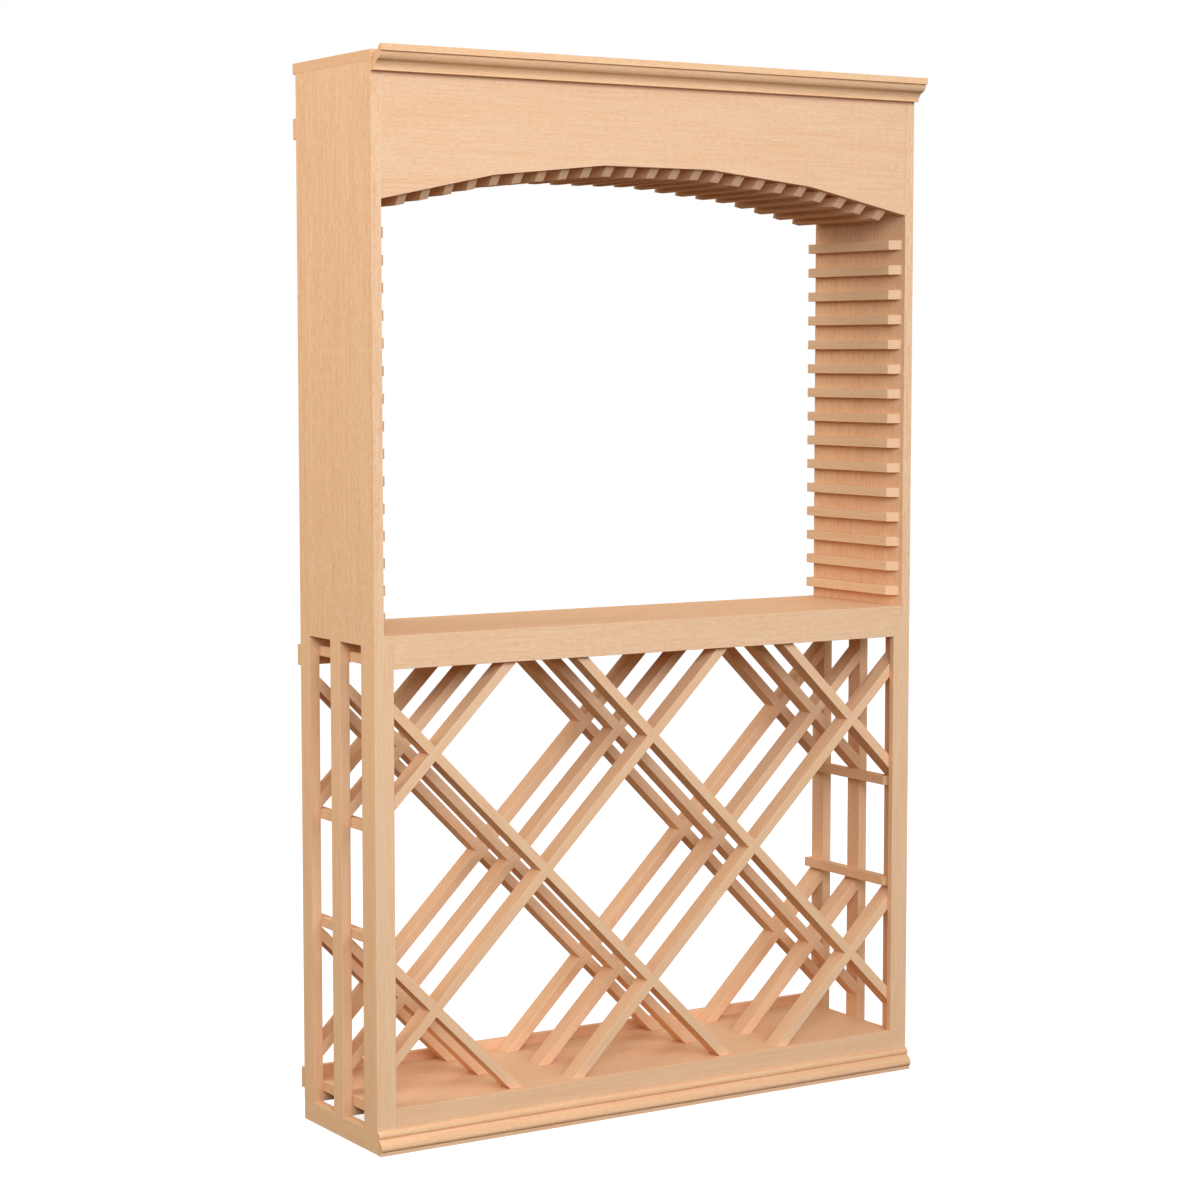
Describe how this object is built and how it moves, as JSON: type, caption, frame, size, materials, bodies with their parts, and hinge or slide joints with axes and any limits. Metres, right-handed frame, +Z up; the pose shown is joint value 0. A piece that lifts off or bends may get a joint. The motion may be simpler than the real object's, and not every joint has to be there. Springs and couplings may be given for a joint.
{
  "type": "wine tasting station",
  "caption": "Open wooden wine tasting station: diamond lattice bottle rack below a counter, slatted niche with a faceted arch above, crown and base mouldings.",
  "frame": {"origin": "centre of the bounding box on the floor", "axes": "+X to the right seen from the front, +Y from the front to the back, +Z up"},
  "size_m": [1.169, 0.342, 1.923],
  "materials": {
    "boards": "unfinished, sanded",
    "frame_battens": "unfinished, sanded",
    "lattice_bars": "unfinished, sanded",
    "slats": "unfinished, sanded",
    "mouldings": "unfinished, sanded",
    "screws": "zinc plated"
  },
  "bodies": {
    "root": {"apron": "boards", "arch_slats": "slats", "back_lattice_falling_1": "lattice_bars", "back_lattice_falling_2": "lattice_bars", "back_lattice_falling_3": "lattice_bars", "back_lattice_falling_4": "lattice_bars", "back_lattice_rising_1": "lattice_bars", "back_lattice_rising_2": "lattice_bars", "back_lattice_rising_3": "lattice_bars", "back_lattice_rising_4": "lattice_bars", "base_moulding": "mouldings", "bottom_cross_boards": "frame_battens", "bottom_rail": "frame_battens", "bottom_rear_rail": "frame_battens", "bottom_shelf": "boards", "counter_top": "boards", "crown_moulding": "mouldings", "front_lattice_falling_1": "lattice_bars", "front_lattice_falling_2": "lattice_bars", "front_lattice_falling_3": "lattice_bars", "front_lattice_falling_4": "lattice_bars", "front_lattice_rising_1": "lattice_bars", "front_lattice_rising_2": "lattice_bars", "front_lattice_rising_3": "lattice_bars", "front_lattice_rising_4": "lattice_bars", "left_back_post": "frame_battens", "left_front_post": "frame_battens", "left_lower_slat": "slats", "left_middle_post": "frame_battens", "left_side_rail": "frame_battens", "left_stile": "frame_battens", "left_top_slat": "slats", "left_upper_panel": "boards", "left_upper_slat": "slats", "left_wall_slats": "slats", "middle_lattice_falling_1": "lattice_bars", "middle_lattice_falling_2": "lattice_bars", "middle_lattice_falling_3": "lattice_bars", "middle_lattice_falling_4": "lattice_bars", "middle_lattice_rising_1": "lattice_bars", "middle_lattice_rising_2": "lattice_bars", "middle_lattice_rising_3": "lattice_bars", "middle_lattice_rising_4": "lattice_bars", "middle_rear_rail": "frame_battens", "rail_screws": "screws", "rear_arch_rib": "boards", "right_back_post": "frame_battens", "right_front_post": "frame_battens", "right_lower_slat": "slats", "right_middle_post": "frame_battens", "right_side_rail": "frame_battens", "right_stile": "frame_battens", "right_top_slat": "slats", "right_upper_panel": "boards", "right_upper_slat": "slats", "right_wall_slats": "slats", "top_board": "boards", "top_cross_boards": "frame_battens", "top_rear_rail": "frame_battens", "valance": "boards"}
  },
  "joints": []
}
